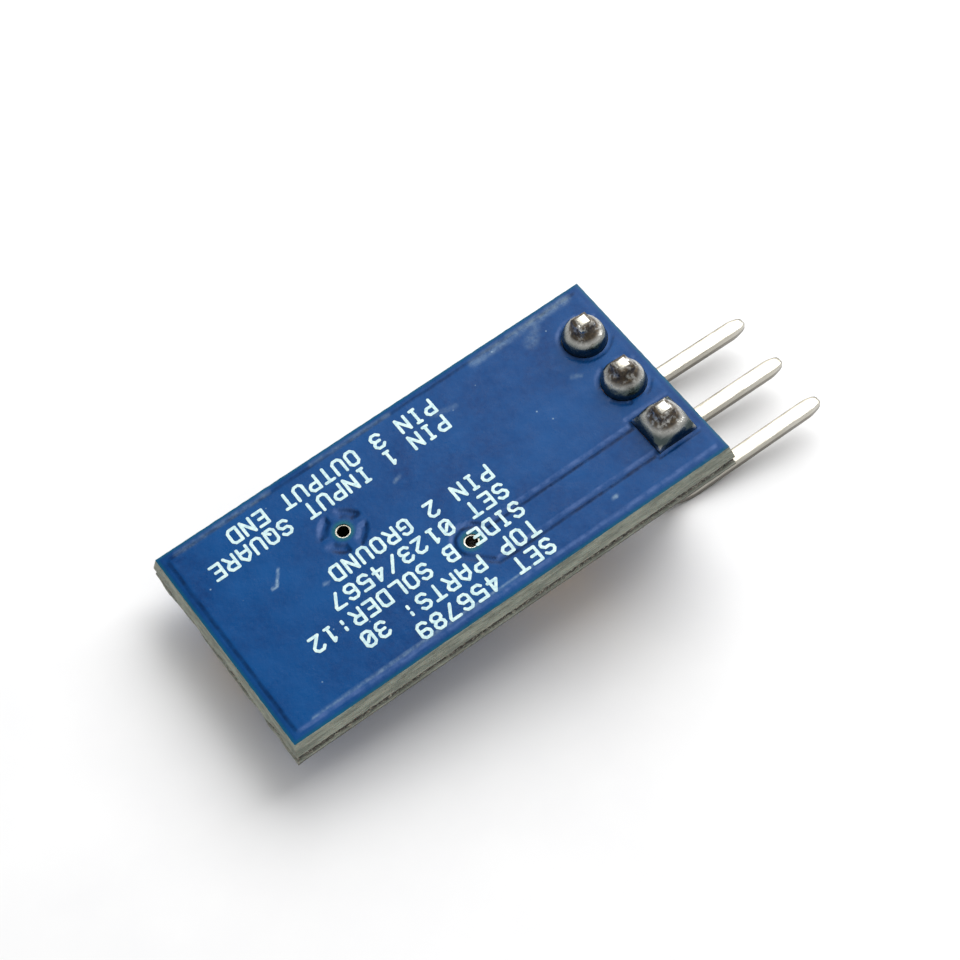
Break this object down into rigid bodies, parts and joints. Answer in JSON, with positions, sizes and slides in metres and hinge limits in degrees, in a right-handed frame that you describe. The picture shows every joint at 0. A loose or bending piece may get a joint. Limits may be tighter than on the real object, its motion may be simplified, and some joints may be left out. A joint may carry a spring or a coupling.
{
  "type": "voltage inverter module",
  "caption": "Small blue circuit board with a bent square-pin header: turns a positive supply into an equal negative one",
  "frame": {"origin": "under the middle of the whole part, level with the underside of the bent header pins", "axes": "+X along the board towards the free ends of the header pins, +Z out of the board's solder side, +Y to the output pin's side"},
  "size_m": [0.0266, 0.01, 0.0077],
  "materials": {
    "fibreglass": "rough cut glass-epoxy laminate",
    "blue_mask": "glossy blue solder mask",
    "copper": "bright copper foil",
    "tinned_hole": "tinned copper",
    "solder": "hand-soldered, flux stained",
    "tinned_pin": "bright tin plate",
    "header_plastic": "black moulded plastic",
    "chip_mould": "black mould compound",
    "lead_frame": "tin-plated copper alloy",
    "silicon": "polished silicon",
    "gold_wire": "gold",
    "capacitor_case": "ochre moulded epoxy",
    "tantalum": "sintered tantalum"
  },
  "bodies": {
    "root": {"bond_wire_1": "gold_wire", "bond_wire_2": "gold_wire", "bond_wire_3": "gold_wire", "bond_wire_4": "gold_wire", "bond_wire_5": "gold_wire", "bond_wire_6": "gold_wire", "bond_wire_7": "gold_wire", "bond_wire_8": "gold_wire", "chip_body": "chip_mould", "chip_lead_1": "lead_frame", "chip_lead_2": "lead_frame", "chip_lead_3": "lead_frame", "chip_lead_4": "lead_frame", "chip_lead_5": "lead_frame", "chip_lead_6": "lead_frame", "chip_lead_7": "lead_frame", "chip_lead_8": "lead_frame", "component_side_mask": "blue_mask", "die_pad": "lead_frame", "ground_plane": "copper", "header_block": "header_plastic", "header_pin_ground": "tinned_pin", "header_pin_input": "tinned_pin", "header_pin_output": "tinned_pin", "input_capacitor_anode": "lead_frame", "input_capacitor_case": "capacitor_case", "input_capacitor_cathode": "lead_frame", "input_capacitor_slug": "tantalum", "input_track": "copper", "net_frequency": "copper", "net_ground_chip": "copper", "net_ground_pin": "copper", "net_input_chip": "copper", "net_input_pin": "copper", "net_low_voltage": "copper", "net_oscillator": "copper", "net_output": "copper", "net_pump_minus": "copper", "net_pump_plus": "copper", "output_capacitor_anode": "lead_frame", "output_capacitor_case": "capacitor_case", "output_capacitor_cathode": "lead_frame", "output_capacitor_slug": "tantalum", "pcb_core": "fibreglass", "plated_hole_ground": "tinned_hole", "plated_hole_input": "tinned_hole", "plated_hole_output": "tinned_hole", "pump_capacitor_anode": "lead_frame", "pump_capacitor_case": "capacitor_case", "pump_capacitor_cathode": "lead_frame", "pump_capacitor_slug": "tantalum", "silicon_die": "silicon", "solder_joint_ground": "solder", "solder_joint_input": "solder", "solder_joint_output": "solder", "solder_side_mask": "blue_mask", "via_ground": "tinned_hole", "via_input": "tinned_hole"}
  },
  "joints": []
}
